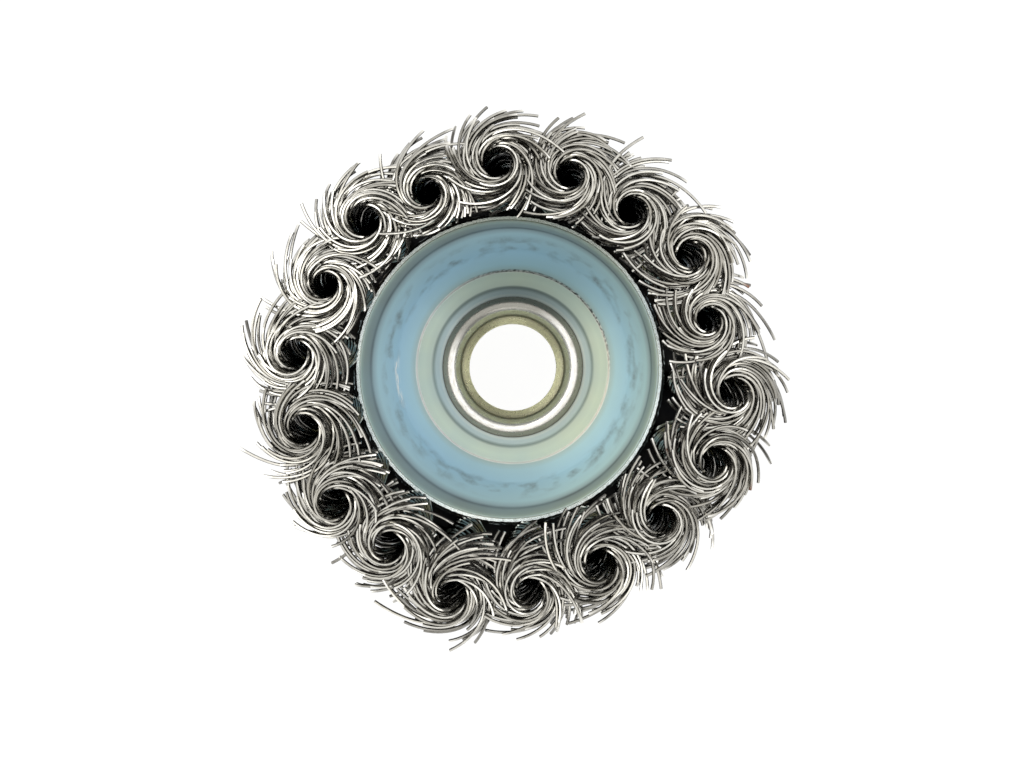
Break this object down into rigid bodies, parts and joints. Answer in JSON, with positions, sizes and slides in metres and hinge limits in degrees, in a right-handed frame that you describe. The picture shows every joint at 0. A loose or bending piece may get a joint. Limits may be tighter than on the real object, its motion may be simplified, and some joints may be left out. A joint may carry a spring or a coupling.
{
  "type": "wire cup brush",
  "caption": "Knotted wire cup brush with a ring of twisted steel wire knots, a pressed cup, a zinc-plated dish and a threaded hexagonal hub.",
  "frame": {"origin": "middle of the hub nut's flat end face, on the axis of the bore", "axes": "+Z along the bore from the nut towards the wire tips; +X to the right and +Y up as the picture shows the brush"},
  "size_m": [0.0744, 0.0744, 0.0429],
  "materials": {
    "hub_zinc": "zinc plated, worn yellow to silver",
    "cup_zinc": "zinc plated, satin",
    "ring_steel": "bare pressed steel",
    "plate_zinc": "blue zinc plated, satin",
    "wire": "bare drawn steel wire"
  },
  "bodies": {
    "root": {"hub_nut": "hub_zinc", "outer_cup": "cup_zinc", "knot_ring": "ring_steel", "inner_plate": "plate_zinc", "knot_01": "wire", "knot_02": "wire", "knot_03": "wire", "knot_04": "wire", "knot_05": "wire", "knot_06": "wire", "knot_07": "wire", "knot_08": "wire", "knot_09": "wire", "knot_10": "wire", "knot_11": "wire", "knot_12": "wire", "knot_13": "wire", "knot_14": "wire", "knot_15": "wire", "knot_16": "wire", "knot_17": "wire", "knot_18": "wire"}
  },
  "joints": []
}
